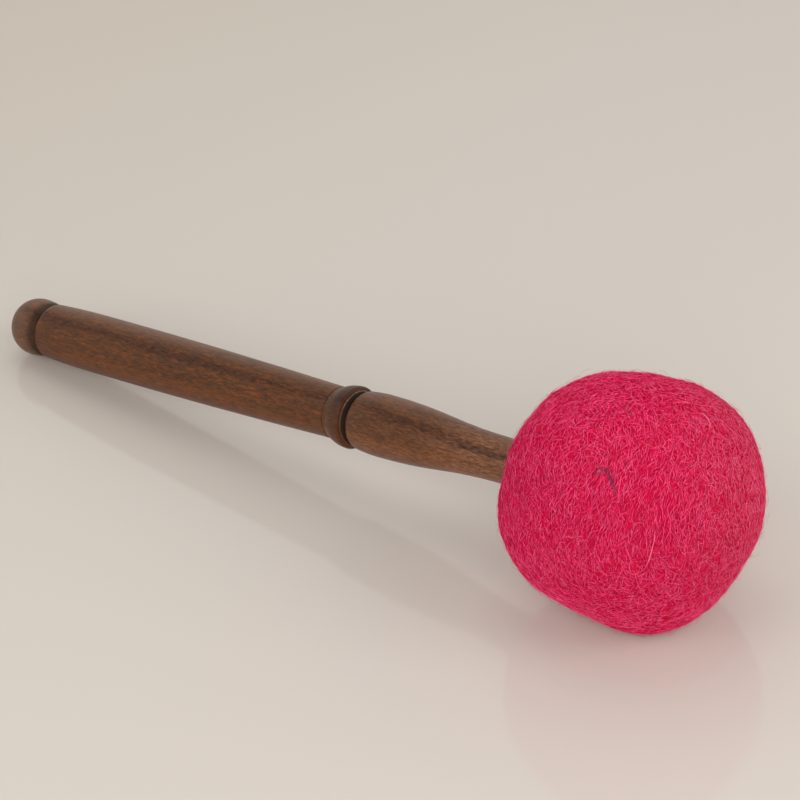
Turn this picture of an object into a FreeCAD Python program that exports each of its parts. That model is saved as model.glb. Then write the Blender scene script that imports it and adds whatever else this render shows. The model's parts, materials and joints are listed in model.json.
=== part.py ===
import FreeCAD, Part
import math
import os

import Sketcher

# A mallet for a singing bowl, lying on a table: a turned wooden handle glued into a felt head.
# Frame: +Z up, the table at Z = 0, the origin at the middle of the flat under the head, and the
# handle running towards -X, down to its knob, which touches the table too.

# Driving dimensions in millimetres. Lengths run along the handle from its knob towards the head.
SIZES = {
    # Wooden core of the head
    "core_radius": 15.0,
    "core_flat_depth": 1.6,         # flat that the neck butts against
    "core_end_wall": 7.9,           # wood left past the bore
    "glue_gap": 0.1,                # glue around the tenon
    "bore_spare_depth": 1.0,        # bore past the end of the tenon
    "drill_point_depth": 1.5,       # cone that the drill leaves
    # Wool and felt round it
    "padding_thickness": 11.8,
    "cover_thickness": 6.0,
    "layer_gap": 0.1,               # between the layers of the head
    "opening_gap": 0.1,             # between the wool and the neck that goes through it
    "opening_rounding": 1.2,        # felt turned in at the neck
    "rest_flat_depth": 2.5,         # how far the head is pressed in where it rests
    # Knob
    "knob_radius": 8.5,
    "knob_flat_radius": 0.9,        # small flat at its end
    "knob_side_length": 4.6,        # from its crest to its rim
    "knob_taper": 0.5,              # how much thinner the rim is than the crest
    # Groove beside the knob
    "groove_wall_length": 1.8,      # from the knob's rim to the bottom of the groove
    "groove_depth": 1.1,            # under the knob's rim
    # Barrel
    "barrel_corner": 1.2,           # rounding beside the groove
    "barrel_lead_length": 21.0,     # from the groove to its thickest place
    "barrel_radius": 8.6,
    "barrel_taper_length": 95.5,    # from its thickest place to the foot of the bead
    "barrel_taper": 1.35,           # how much thinner it is at the bead
    # Line scribed beside the foot of the bead
    "scribe_offset": 0.7,
    "scribe_width": 0.5,
    "scribe_depth": 0.3,
    # Bead
    "bead_rise_length": 5.4,        # from its foot to its crest
    "bead_height": 1.5,
    "bead_rounding": 0.9,           # past the crest
    # Notch between bead and swell
    "notch_wall_length": 1.6,       # from the bead's rim to the bottom of the notch
    "notch_depth": 1.65,            # under the bead's rim
    # Swell
    "swell_corner": 2.0,            # rounding beside the notch
    "swell_lead_length": 8.7,       # from the notch to its thickest place
    "swell_height": 2.45,           # over the neck
    "swell_taper_length": 41.8,     # from its thickest place to the neck
    # Neck and tenon
    "neck_length": 8.3,             # straight stretch in sight
    "neck_radius": 6.15,
    "tenon_shoulder": 1.65,         # how much thinner the tenon is than the neck
    "tenon_chamfer": 0.8,
    # Shared by the cuts
    "cut_overrun": 2.0,
    # Largest share of a wall's height that its rounded corner may take
    "corner_share": 0.9,
}

# Sizes that follow from the driving ones: places along the handle, counted from its knob end,
# radii, and how the mallet lies.
LAYOUT = {
    # Head, from the inside out
    "core_flat_offset": "=Sizes.core_radius - Sizes.core_flat_depth",
    "core_flat_radius": "=sqrt(Sizes.core_radius ^ 2 - core_flat_offset ^ 2)",
    "bore_point": "=Sizes.core_radius - Sizes.core_end_wall",
    "bore_bottom": "=bore_point - Sizes.drill_point_depth",
    "bore_mouth_offset": "=core_flat_offset + Sizes.cut_overrun",
    "padding_inner_radius": "=Sizes.core_radius + Sizes.layer_gap",
    "padding_radius": "=padding_inner_radius + Sizes.padding_thickness",
    "cover_inner_radius": "=padding_radius + Sizes.layer_gap",
    "head_radius": "=cover_inner_radius + Sizes.cover_thickness",
    "opening_radius": "=Sizes.neck_radius + Sizes.opening_gap",
    "cut_reach": "=head_radius + Sizes.cut_overrun",
    "cut_width": "=2 * cut_reach",
    # Knob and groove
    "knob_dome_radius": "=Sizes.knob_radius - Sizes.knob_flat_radius",
    "knob_rim_at": "=knob_dome_radius + Sizes.knob_side_length",
    "knob_rim_radius": "=Sizes.knob_radius - Sizes.knob_taper",
    "groove_at": "=knob_rim_at + Sizes.groove_wall_length",
    "groove_radius": "=min(knob_rim_radius; Sizes.barrel_radius) - Sizes.groove_depth",
    # Barrel and its scribed line
    "barrel_corner_radius":
        "=min(Sizes.barrel_corner; Sizes.corner_share * (Sizes.barrel_radius - groove_radius))",
    "barrel_crest_at": "=groove_at + Sizes.barrel_lead_length",
    "bead_start": "=barrel_crest_at + Sizes.barrel_taper_length",
    "barrel_end_radius": "=Sizes.barrel_radius - Sizes.barrel_taper",
    "scribe_at": "=bead_start - Sizes.scribe_offset",
    "scribe_left": "=scribe_at - Sizes.scribe_width",
    "scribe_right": "=scribe_at + Sizes.scribe_width",
    "scribe_bottom_radius": "=barrel_end_radius - Sizes.scribe_depth",
    "scribe_top_radius": "=barrel_end_radius + Sizes.scribe_depth",
    # Bead and notch
    "bead_crest_at": "=bead_start + Sizes.bead_rise_length",
    "bead_radius": "=barrel_end_radius + Sizes.bead_height",
    "bead_rim_at": "=bead_crest_at + Sizes.bead_rounding",
    "bead_rim_radius": "=bead_radius - Sizes.bead_rounding",
    "notch_at": "=bead_rim_at + Sizes.notch_wall_length",
    "swell_radius": "=Sizes.neck_radius + Sizes.swell_height",
    "notch_radius": "=min(bead_rim_radius; swell_radius) - Sizes.notch_depth",
    # Swell, neck and tenon
    "swell_corner_radius": "=min(Sizes.swell_corner; Sizes.corner_share * (swell_radius - notch_radius))",
    "swell_crest_at": "=notch_at + Sizes.swell_lead_length",
    "neck_start": "=swell_crest_at + Sizes.swell_taper_length",
    "swell_bend_at": "=(swell_crest_at + neck_start) / 2",
    "swell_bend_radius": "=(swell_radius + Sizes.neck_radius) / 2",
    "handle_reach": "=neck_start + Sizes.neck_length + head_radius",
    "neck_end": "=handle_reach - core_flat_offset",
    "tenon_radius": "=Sizes.neck_radius - Sizes.tenon_shoulder",
    "tenon_end": "=handle_reach + bore_bottom - Sizes.bore_spare_depth",
    "tenon_chamfer_at": "=tenon_end - Sizes.tenon_chamfer",
    "tenon_tip_radius": "=tenon_radius - Sizes.tenon_chamfer",
    "bore_radius": "=tenon_radius + Sizes.glue_gap",
    # How the mallet lies: the head on its flat, the knob's dome on the table
    "head_height": "=head_radius - Sizes.rest_flat_depth",
    "dome_centre_reach": "=handle_reach - knob_dome_radius",
    "dome_centre_distance": "=sqrt(dome_centre_reach ^ 2 + Sizes.knob_flat_radius ^ 2)",
    "dome_fall": "=head_height - knob_dome_radius",
    "rest_slope":
        "=asin(dome_fall / dome_centre_distance) - atan(Sizes.knob_flat_radius / dome_centre_reach)",
    "knob_end_x": "=-handle_reach * cos(rest_slope)",
    "knob_end_z": "=head_height - handle_reach * sin(rest_slope)",
}

doc = FreeCAD.newDocument("SingingBowlMallet")


def write_sheet(name, cells):
    sheet = doc.addObject("Spreadsheet::Sheet", name)
    for row, (alias, content) in enumerate(cells.items(), start=1):
        sheet.set(f"A{row}", alias)
        sheet.set(f"B{row}", str(content))
        sheet.setAlias(f"B{row}", alias)
    doc.recompute()
    return sheet


sheets = (write_sheet("Sizes", SIZES), write_sheet("Layout", LAYOUT))


def reference(alias):
    """The expression that reads a named size from its sheet."""
    return f"Sizes.{alias}" if alias in SIZES else f"Layout.{alias}"


def number(alias):
    """The present value of a named size; None stands for zero."""
    if alias is None:
        return 0.0
    found = getattr(sheets[0] if alias in SIZES else sheets[1], alias)
    return getattr(found, "Value", found)


def place(x_alias, y_alias):
    return FreeCAD.Vector(number(x_alias), number(y_alias), 0)


def angle_round(centre, spot):
    return math.atan2(spot.y - centre.y, spot.x - centre.x)


class Outline:
    """A closed outline in one sketch, whose points and radii are tied to the sheets."""

    def __init__(self, body, label, role):
        self.sketch = body.newObject("Sketcher::SketchObject", label)
        plane = next(item for item in body.Origin.OriginFeatures if item.Role == role)
        self.sketch.AttachmentSupport = (plane, [""])
        self.sketch.MapMode = "FlatFace"
        self.edges = []
        self.smooth = []

    def bind(self, kind, *parts, size):
        index = self.sketch.addConstraint(Sketcher.Constraint(kind, *parts, number(size)))
        self.sketch.setExpression(f"Constraints[{index}]", reference(size))

    def rule(self, kind, *parts):
        self.sketch.addConstraint(Sketcher.Constraint(kind, *parts))

    def line(self, start, end):
        """A straight edge; returns its number."""
        index = self.sketch.addGeometry(Part.LineSegment(start, end), False)
        self.edges.append((index, 1, 2))
        return len(self.edges) - 1

    def arc(self, start, end, centre):
        """The shorter arc from start to end; returns the edge's number."""
        first, last = angle_round(centre, start), angle_round(centre, end)
        anticlockwise = math.sin(last - first) > 0
        if not anticlockwise:
            first, last = last, first
        circle = Part.Circle(centre, FreeCAD.Vector(0, 0, 1), (start - centre).Length)
        index = self.sketch.addGeometry(Part.ArcOfCircle(circle, first, last), False)
        self.edges.append((index, 1, 2) if anticlockwise else (index, 2, 1))
        return len(self.edges) - 1

    def start_of(self, edge):
        return self.edges[edge][0], self.edges[edge][1]

    def end_of(self, edge):
        return self.edges[edge][0], self.edges[edge][2]

    def pin(self, spot, x_alias, y_alias):
        """Ties a point to its place; None holds it on the axis."""
        if x_alias is None:
            self.rule("PointOnObject", *spot, -2)
        else:
            self.bind("DistanceX", -1, 1, *spot, size=x_alias)
        if y_alias is None:
            self.rule("PointOnObject", *spot, -1)
        else:
            self.bind("DistanceY", -1, 1, *spot, size=y_alias)

    def centre_under(self, edge, spot):
        self.rule("Vertical", *spot, self.edges[edge][0], 3)

    def centre_level(self, edge, spot):
        self.rule("Horizontal", *spot, self.edges[edge][0], 3)

    def close(self):
        """Joins each edge to the next one, the last to the first."""
        for edge in range(len(self.edges)):
            following = (edge + 1) % len(self.edges)
            kind = "Tangent" if edge in self.smooth else "Coincident"
            self.rule(kind, *self.end_of(edge), *self.start_of(following))
        doc.recompute()
        if not self.sketch.FullyConstrained:
            raise RuntimeError(f"{self.sketch.Label} leaves a point free")


def turn(body, outline, kind="PartDesign::Revolution", label="Turning"):
    """Turns an outline once round the handle's axis, as solid or as cut."""
    feature = body.newObject(kind, label)
    feature.Profile = outline.sketch
    feature.ReferenceAxis = (outline.sketch, ["H_Axis"])
    feature.Angle = 360
    outline.sketch.Visibility = False
    doc.recompute()
    return feature


def check_cut(feature):
    """A cut that misses the solid leaves its volume as it was."""
    if feature.Shape.Volume >= feature.BaseFeature.Shape.Volume:
        raise RuntimeError(f"{feature.Label} removes nothing")


def new_body(name):
    body = doc.addObject("PartDesign::Body", name)
    body.Label = name
    return body


def lay_down(body, x, z):
    """Gives a body its place in the lying mallet, at the handle's slope."""
    spot = f"vector({x}; 0; {z})"
    body.setExpression("Placement", f"placement({spot}; rotation(vector(0; 1; 0); -Layout.rest_slope))")


def corner_arcs(outline, foot, corner, crest):
    """An end that rises square from the foot of a groove, rounds over and runs on to its crest.

    The corner has a radius of its own, and the long arc meets it without a crease.
    """
    start, top, radius = place(*foot), place(*crest), number(corner)
    corner_centre = FreeCAD.Vector(start.x + radius, start.y, 0)
    run, rise = top.x - corner_centre.x, top.y - corner_centre.y
    long_radius = (run ** 2 + rise ** 2 - radius ** 2) / (2 * (rise - radius))
    long_centre = FreeCAD.Vector(top.x, top.y - long_radius, 0)
    away = (corner_centre - long_centre).normalize()
    meeting = corner_centre + away * radius
    corner_edge = outline.arc(start, meeting, corner_centre)
    long_edge = outline.arc(meeting, top, long_centre)
    outline.pin(outline.start_of(corner_edge), *foot)
    outline.centre_level(corner_edge, outline.start_of(corner_edge))
    outline.bind("Radius", outline.edges[corner_edge][0], size=corner)
    outline.smooth.append(corner_edge)
    outline.pin(outline.end_of(long_edge), *crest)
    outline.centre_under(long_edge, outline.end_of(long_edge))


def crest_arc(outline, start, end, crest):
    """An arc whose crest, or lowest place, is one of its two ends."""
    low, high = place(*start), place(*end)
    at, other = (low, high) if crest == "start" else (high, low)
    run, rise = other.x - at.x, other.y - at.y
    centre = FreeCAD.Vector(at.x, at.y + (run ** 2 + rise ** 2) / (2 * rise), 0)
    edge = outline.arc(low, high, centre)
    outline.pin(outline.end_of(edge), *end)
    spot = outline.start_of(edge) if crest == "start" else outline.end_of(edge)
    outline.centre_under(edge, spot)


def straight(outline, start, end):
    edge = outline.line(place(*start), place(*end))
    outline.pin(outline.end_of(edge), *end)


def make_handle():
    """One piece of wood: knob, groove, barrel, bead, notch, swell, neck and tenon."""
    body = new_body("handle")
    outline = Outline(body, "HandleOutline", "XY_Plane")
    knob_flat = (None, "knob_flat_radius")
    knob_crest = ("knob_dome_radius", "knob_radius")
    knob_rim = ("knob_rim_at", "knob_rim_radius")
    groove = ("groove_at", "groove_radius")
    barrel_crest = ("barrel_crest_at", "barrel_radius")
    bead_foot = ("bead_start", "barrel_end_radius")
    bead_crest = ("bead_crest_at", "bead_radius")
    bead_rim = ("bead_rim_at", "bead_rim_radius")
    notch = ("notch_at", "notch_radius")
    swell_crest = ("swell_crest_at", "swell_radius")
    swell_bend = ("swell_bend_at", "swell_bend_radius")
    neck_top = ("neck_start", "neck_radius")
    neck_foot = ("neck_end", "neck_radius")
    tenon_root = ("neck_end", "tenon_radius")
    tenon_edge = ("tenon_chamfer_at", "tenon_radius")
    tenon_tip = ("tenon_end", "tenon_tip_radius")

    outline.line(place(None, None), place(*knob_flat))
    dome_centre = place("knob_dome_radius", "knob_flat_radius")
    dome = outline.arc(place(*knob_flat), place(*knob_crest), dome_centre)
    outline.rule("PointOnObject", *outline.start_of(dome), -2)
    outline.pin(outline.end_of(dome), *knob_crest)
    outline.centre_under(dome, outline.end_of(dome))
    outline.centre_level(dome, outline.start_of(dome))
    crest_arc(outline, knob_crest, knob_rim, "start")
    outline.line(place(*knob_rim), place(*groove))
    corner_arcs(outline, groove, "barrel_corner_radius", barrel_crest)
    crest_arc(outline, barrel_crest, bead_foot, "start")
    crest_arc(outline, bead_foot, bead_crest, "end")
    crest_arc(outline, bead_crest, bead_rim, "start")
    outline.line(place(*bead_rim), place(*notch))
    corner_arcs(outline, notch, "swell_corner_radius", swell_crest)
    crest_arc(outline, swell_crest, swell_bend, "start")
    crest_arc(outline, swell_bend, neck_top, "end")
    for start, end in ((neck_top, neck_foot), (neck_foot, tenon_root), (tenon_root, tenon_edge),
                       (tenon_edge, tenon_tip)):
        straight(outline, start, end)
    outline.line(place(*tenon_tip), place("tenon_end", None))
    axis_edge = outline.line(place("tenon_end", None), place(None, None))
    outline.pin(outline.start_of(axis_edge), "tenon_end", None)
    outline.pin(outline.end_of(axis_edge), None, None)
    outline.close()
    turn(body, outline)

    scribe = Outline(body, "ScribeOutline", "XY_Plane")
    corners = (("scribe_at", "scribe_bottom_radius"), ("scribe_right", "scribe_top_radius"),
               ("scribe_left", "scribe_top_radius"))
    for start, end in zip(corners, corners[1:] + corners[:1]):
        straight(scribe, start, end)
    scribe.close()
    check_cut(turn(body, scribe, "PartDesign::Groove", "ScribedLine"))
    lay_down(body, "Layout.knob_end_x", "Layout.knob_end_z")
    return body


def ball_arc(outline, radius, start, end):
    """An arc about the middle of the head."""
    edge = outline.arc(start, end, place(None, None))
    outline.rule("Coincident", outline.edges[edge][0], 3, -1, 1)
    outline.bind("Radius", outline.edges[edge][0], size=radius)
    return edge


def left_of_centre(radius, height):
    """The place on a ball's left side at a given height over the axis."""
    return FreeCAD.Vector(-math.sqrt(number(radius) ** 2 - number(height) ** 2), number(height), 0)


def make_core():
    """A turned ball with a flat for the neck and a blind bore for the tenon."""
    body = new_body("head_core")
    outline = Outline(body, "CoreOutline", "XY_Plane")
    flat_edge = left_of_centre("core_radius", "core_flat_radius")
    flat_middle = FreeCAD.Vector(flat_edge.x, 0, 0)
    flat = outline.line(flat_middle, flat_edge)
    outline.rule("PointOnObject", *outline.start_of(flat), -1)
    outline.rule("Vertical", outline.edges[flat][0])
    outline.bind("DistanceX", *outline.start_of(flat), -1, 1, size="core_flat_offset")
    ball = ball_arc(outline, "core_radius", flat_edge, place("core_radius", None))
    outline.rule("PointOnObject", *outline.end_of(ball), -1)
    outline.line(place("core_radius", None), flat_middle)
    outline.close()
    turn(body, outline)

    bore = Outline(body, "BoreOutline", "XY_Plane")
    mouth = FreeCAD.Vector(-number("bore_mouth_offset"), 0, 0)
    mouth_edge = mouth + place(None, "bore_radius")
    wall_end = place("bore_bottom", "bore_radius")
    first = bore.line(mouth, mouth_edge)
    bore.rule("PointOnObject", *bore.start_of(first), -1)
    bore.rule("Vertical", bore.edges[first][0])
    bore.bind("DistanceX", *bore.start_of(first), -1, 1, size="bore_mouth_offset")
    wall = bore.line(mouth_edge, wall_end)
    bore.rule("Horizontal", bore.edges[wall][0])
    bore.pin(bore.end_of(wall), "bore_bottom", "bore_radius")
    cone = bore.line(wall_end, place("bore_point", None))
    bore.pin(bore.end_of(cone), "bore_point", None)
    bore.line(place("bore_point", None), mouth)
    bore.close()
    check_cut(turn(body, bore, "PartDesign::Groove", "TenonBore"))
    lay_down(body, "0", "Layout.head_height")
    return body


def turn_layer(name, outer, inner):
    """A round layer of the head, open where the neck goes through it."""
    body = new_body(name)
    outline = Outline(body, "LayerOutline", "XY_Plane")
    outer_lip = left_of_centre(outer, "opening_radius")
    inner_lip = left_of_centre(inner, "opening_radius")
    outside = ball_arc(outline, outer, outer_lip, place(outer, None))
    outline.rule("PointOnObject", *outline.end_of(outside), -1)
    outline.line(place(outer, None), place(inner, None))
    inside = ball_arc(outline, inner, place(inner, None), inner_lip)
    outline.rule("PointOnObject", *outline.start_of(inside), -1)
    outline.bind("DistanceY", -1, 1, *outline.end_of(inside), size="opening_radius")
    lip = outline.line(inner_lip, outer_lip)
    outline.rule("Horizontal", outline.edges[lip][0])
    outline.close()
    turn(body, outline)
    return body


def round_opening(body):
    """Rounds the outer edge of the opening for the neck."""
    layer = body.Tip
    rims = [f"Edge{order}" for order, edge in enumerate(layer.Shape.Edges, start=1)
            if edge.BoundBox.XMax < -number("cover_inner_radius")]
    rounding = body.newObject("PartDesign::Fillet", "OpeningRounding")
    rounding.Base = (layer, rims)
    rounding.Radius = number("opening_rounding")
    rounding.setExpression("Radius", reference("opening_rounding"))
    doc.recompute()
    check_cut(rounding)


def press_flat(body):
    """Cuts the flat that the head rests on, level when the handle lies at its slope."""
    outline = Outline(body, "RestOutline", "XZ_Plane")
    slope = math.radians(number("rest_slope"))
    along = FreeCAD.Vector(math.cos(slope), -math.sin(slope), 0)
    down = FreeCAD.Vector(-math.sin(slope), -math.cos(slope), 0)
    reach, depth = number("cut_reach"), number("head_height")
    corners = [along * -reach + down * depth, along * reach + down * depth,
               along * reach + down * reach, along * -reach + down * reach]
    sides = [outline.line(start, end) for start, end in zip(corners, corners[1:] + corners[:1])]
    top, right, bottom, left = [outline.edges[side][0] for side in sides]
    for one, other in ((top, right), (right, bottom), (bottom, left)):
        outline.rule("Perpendicular", one, other)
    tilt = outline.sketch.addConstraint(Sketcher.Constraint("Angle", top, -slope))
    outline.sketch.setExpression(f"Constraints[{tilt}]", "-Layout.rest_slope")
    outline.bind("Distance", -1, 1, top, size="head_height")
    for side in (right, bottom, left):
        outline.bind("Distance", -1, 1, side, size="cut_reach")
    outline.close()
    flat = body.newObject("PartDesign::Pocket", "RestFlat")
    flat.Profile = outline.sketch
    flat.Midplane = True
    flat.Length = number("cut_width")
    flat.setExpression("Length", reference("cut_width"))
    outline.sketch.Visibility = False
    doc.recompute()
    check_cut(flat)


def make_padding():
    """Undyed wool wound round the core."""
    body = turn_layer("wool_padding", "padding_radius", "padding_inner_radius")
    lay_down(body, "0", "Layout.head_height")
    return body


def make_cover():
    """Dyed felt, pressed flat where the head rests."""
    body = turn_layer("felt_cover", "head_radius", "cover_inner_radius")
    round_opening(body)
    press_flat(body)
    lay_down(body, "0", "Layout.head_height")
    return body


def check_document():
    for item in doc.Objects:
        if "Invalid" in item.State or "Error" in item.State:
            raise RuntimeError(f"{item.Label} failed: {item.State}")


def export(bodies):
    os.makedirs("parts", exist_ok=True)
    for body in bodies:
        if body.Shape.isNull() or not body.Shape.isValid() or len(body.Shape.Solids) != 1:
            raise RuntimeError(f"{body.Label} is not one valid solid")
    for body in bodies:
        body.Shape.exportStep(f"parts/{body.Label}.step")
        box = body.Shape.optimalBoundingBox()
        print(f"{body.Label}: {body.Shape.Volume:.0f} mm3, X {box.XMin:.2f} to {box.XMax:.2f}, "
              f"Y {box.YMin:.2f} to {box.YMax:.2f}, Z {box.ZMin:.2f} to {box.ZMax:.2f}")


bodies = [make_handle(), make_core(), make_padding(), make_cover()]
doc.recompute()
check_document()
export(bodies)
print(f"slope {number('rest_slope'):.3f} degrees, knob end to head centre {number('handle_reach'):.1f} mm")
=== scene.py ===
import json
import math

import bpy
import numpy as np
from bpy.props import FloatProperty, FloatVectorProperty, IntProperty, PointerProperty
from mathutils import Matrix, Vector


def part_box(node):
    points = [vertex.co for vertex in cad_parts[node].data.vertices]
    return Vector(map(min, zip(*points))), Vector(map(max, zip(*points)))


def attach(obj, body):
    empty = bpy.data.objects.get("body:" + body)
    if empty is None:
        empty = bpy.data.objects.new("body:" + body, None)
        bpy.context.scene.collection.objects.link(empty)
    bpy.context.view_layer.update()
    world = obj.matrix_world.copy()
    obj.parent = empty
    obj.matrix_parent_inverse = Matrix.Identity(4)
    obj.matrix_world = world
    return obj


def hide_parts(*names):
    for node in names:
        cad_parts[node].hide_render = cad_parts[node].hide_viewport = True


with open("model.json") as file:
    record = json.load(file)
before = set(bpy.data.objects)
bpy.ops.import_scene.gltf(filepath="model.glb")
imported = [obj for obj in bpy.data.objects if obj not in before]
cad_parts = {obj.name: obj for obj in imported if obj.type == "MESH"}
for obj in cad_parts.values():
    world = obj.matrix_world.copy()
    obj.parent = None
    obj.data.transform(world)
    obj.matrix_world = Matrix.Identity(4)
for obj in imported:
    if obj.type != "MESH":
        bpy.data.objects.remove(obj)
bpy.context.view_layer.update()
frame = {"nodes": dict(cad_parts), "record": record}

bl_info = {
    "name": "Singing bowl mallet",
    "version": (1, 0, 0),
    "blender": (4, 5, 0),
    "location": "3D View > Sidebar > Mallet",
    "description": "Dresses a turned mallet with grained wood and matted, loose-haired felt",
    "category": "Add Mesh",
}

MM = 0.001

GRIP = next(m for m in frame["record"]["mounts"] if m["name"] == "grip")
HANDLE_AXIS = -Vector(GRIP["axis"])  # from the knob to the head
HANDLE_SLOPE = math.atan2(HANDLE_AXIS.z, HANDLE_AXIS.x)
HEAD_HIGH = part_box("felt_cover")[1]
HEAD_RADIUS = HEAD_HIGH.y
HEAD_CENTRE = Vector((HEAD_HIGH.x - HEAD_RADIUS, 0, HEAD_HIGH.z - HEAD_RADIUS))
CENTRE, AXIS = np.array(HEAD_CENTRE), np.array(HANDLE_AXIS)
HANDLE_LENGTH = (HEAD_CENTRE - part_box("handle")[0]).x / HANDLE_AXIS.x

# Where the head is pressed flat or stands proud: azimuth and elevation in degrees, offset in mm.
HEAD_FORM = (
    (35, 0, 0.75), (43, 14, 0.85), (52, 27, 1.25), (62, 39, 0.7), (77, 49, -0.35), (98, 58, -1.3),
    (127, 61, -1.45), (156, 58, -0.25), (177, 50, -0.2), (-168, 39, 0.1), (-142, 3, 0.6),
    (-135, -7, 1.5), (-129, -17, 1.7), (-121, -27, 1.2), (-112, -36, 0.4), (-101, -44, -0.5),
    (-86, -51, -0.9), (-67, -55, 0.9), (-46, -56, 1.85), (-26, -53, 2.3), (-10, -47, 1.65),
    (3, -39, 0.75), (13, -30, 0.1), (21, -21, 0.2), (28, -11, 0.5),
    (-52, 31, 0.5), (-20, 10, -0.2), (-85, 5, 0.6), (-60, 65, -0.7), (-100, 35, 0.2), (0, 40, 0.5),
    (90, 5, -0.8), (120, -25, 0.7), (70, -20, 0.4), (160, -35, -0.6),
)
FORM_SPREAD = math.radians(17)  # how far each of these places shapes the felt round it
FORM_EASE = 0.08  # keeps the form soft between places that lie close together
FORM_SEED, SWELLINGS, TIGHTNESS = 11, 60, (9, 26)  # small swellings: how many and how tight
NAP = 0.5 * MM  # how far the felt lies under the tops of its fibres
FELT_CUTS, WOOL_CUTS = 40, 24  # cuts each way across the faces of the round cubes
WOOL_INSET, WOOL_SLACK = 0.6 * MM, 0.8 * MM  # the wool lies deeper and is thinner than its room
TINY = 1e-6  # keeps a level direction from a division by zero

# The wool's threads: the axis that most of them are wound round, the axis of the last turns, which
# run round the head's front and back, and the waves that sway both.
WINDING, OVERWINDING = np.array([0.74, 0.67, 0.1]), np.array([0.59, -0.64, 0.49])
LAST_TURNS = (0.35, 1.15)  # how far from their axis the last turns lie over the others, as a range
SWAY, SWAY_WAVES = 0.25, ((2.1, -3.4, 2.7), (-4.3, 1.9, 3.1))
CURVE_CHANGE = 0.4  # how much a thread's curve changes on its way, as a share of its usual bend
SPREAD_SHIFT = 1.2  # how far threads are shifted out of an even spread, in steps of it

# Matted fibres
FIBRE_LAYERS, FIBRE_SEED = 8, 100
FIBRE_TAPER = (0.4, 1.0, 1.0, 1.0, 0.4)
FIBRE_PILE, FIBRE_SINK, FIBRE_WANDER = 0.28, 0.07, 0.025  # heights in mm
FIBRE_BEND, FIBRE_LOOSENESS, FIBRE_LENGTHS = 230, 0.95, 0.35
END_DIP, FIBRE_MARGIN = 0.08 * MM, 0.12 * MM
SHADOW_STRAND_GAP = 2.6  # from a light fibre to the dark one beside it that paints its shadow, in fibre radii
PAIR_TONE, PAIR_DEPTH_SHADE, PAIR_SCATTER = 0.33, 0.12, 0.08  # a pair's middle tone, and more near the top as painted shade darkens the deeper pairs
# how far a light fibre and the dark one that paints its shadow lie above and below their pair's
# middle tone, the scatter of that, and the scatter along each fibre
CONTRAST, CONTRAST_SCATTER, TONE_SCATTER = 0.3, 0.12, 0.13
GREY_SHARE, GREY_TONE, MOST_DYED_TONE = 0.0015, 0.98, 0.93
GREY_STEP = (0.955, 0.965)  # from the tones of dyed fibres to the tone of grey ones

# Loose hairs
HAIR_SEED = 7
HAIR_TAPER = (0.6, 1.0, 1.0, 0.9, 0.4)
HAIR_RISE = (-0.2, 0.5, 0.9, 1.0, 0.9)  # each point's height as a share of the hair's top
HAIR_LENGTH, HAIR_LENGTHS, HAIR_BEND, HAIR_LOOSENESS = 3.0 * MM, 0.4, 260, 1.2
HAIR_TOP, HAIR_TOP_SHAPE, HAIR_TOP_SCALE, HAIR_MARGIN = 0.15 * MM, 1.2, 0.16 * MM, 0.1 * MM
HAIR_RISERS = ((3, 0.1 * MM, 0.55 * MM), (40, 0.4 * MM, 1.2 * MM))  # one in so many, how much higher

# Single strands have this many sides, and a margin round each face in the bake map.
STRAND_SIDES = 3
CELL_MARGIN = 0.08

# Places along the handle, in metres from the knob's end: where each thing begins and where it ends,
# both as the two ends of a smooth step.
KNOB_END = (0.014, 0.008)
GROOVE = ((0.0102, 0.0126), (0.0141, 0.0147))
BARREL_START, BEAD_FOOT, BEAD_RIM = 0.0152, 0.1305, 0.1371
# BARREL_TOP: along the barrel, where the painted sheen on its upper edge grows a little stronger
BARREL_TOP = (0.015, 0.03)
BEAD = ((0.1312, 0.135), (0.1369, 0.1372))
NOTCH = ((0.1371, 0.1374), (0.1383, 0.139))
SWELL = (0.1375, 0.139)
NECK = (0.16, 0.19)

# One ring of dark wood shows as a streak: how far it is from the axis, how much it sags and where.
RING_TURN = math.radians(-55.3)  # how the growth rings lie round the handle's axis
RING_PLACE, RING_WANDER, RING_FADE = 3.8 * MM, 3.5 * MM, (1.6 * MM, 0.2 * MM)
BARREL_SAG, BARREL_SAG_PLACE = 1.5 * MM, ((0.02, 0.08), (0.12, 0.14))
NECK_SAG, NECK_SAG_PLACE = 2.9 * MM, (0.13, 0.195)

# How tight the wood's patterns are along the grain, across the growth rings and along them, and the
# detail, roughness and distortion of each.
GRAIN = {
    "band": ((18, 260, 150), 3.0, 0.6, 0.6),
    "streak": ((24, 420, 200), 4.0, 0.65, 0.6),
    "blotch": ((210, 850, 850), 3.0, 0.6, 0.5),
    "fleck": ((480, 1900, 1900), 3.0, 0.65, 0.5),
    "thread": ((420, 3400, 3400), 2.0, 0.6, 0.3),
    "pore": ((420, 3900, 3900), 1.0, 0.5, 0.0),
}

# Turns of the three directions that matted threads run in, and how fine they are.
THREAD_TURNS = ((0.3, 0.2, 0.1), (1.2, 0.7, 1.9), (2.2, 1.6, 0.8))
FELT_THREADS, WOOL_THREADS = 5200, 2600
THREAD_STRETCH, THREAD_WARP, WARP_SCALE = 0.12, 0.012, 160
CAP_PAINTED_LIGHT = (1.13, 1.06, 1.12)  # painted light: the fibres are made a little brighter at the head's top and underside

# Lamps: name, place, size in metres, power in watts, and whether glossy things show it.
LAMPS = (
    ("overhead_softbox", (-0.421, 0.353, 1.264), 1.0, 2.8, True),
    ("front_softbox", (0.6, -0.58, 0.34), 0.6, 4.1, False),
    ("right_softbox", (0.791, 0.212, 0.604), 0.6, 2.35, False),
    ("left_softbox", (-0.337, -0.9, 0.5), 0.6, 2.0, False),
)
FLOOR_SIZE, FLOOR_GAP = 12, 0.05 * MM
FAR = (-0.1, -0.7)  # where along X the table begins to take its far colour, darker as painted shade, and where it has
SENSOR_WIDTH, CLIP_START = 36, 0.05  # in mm and in metres

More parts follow.
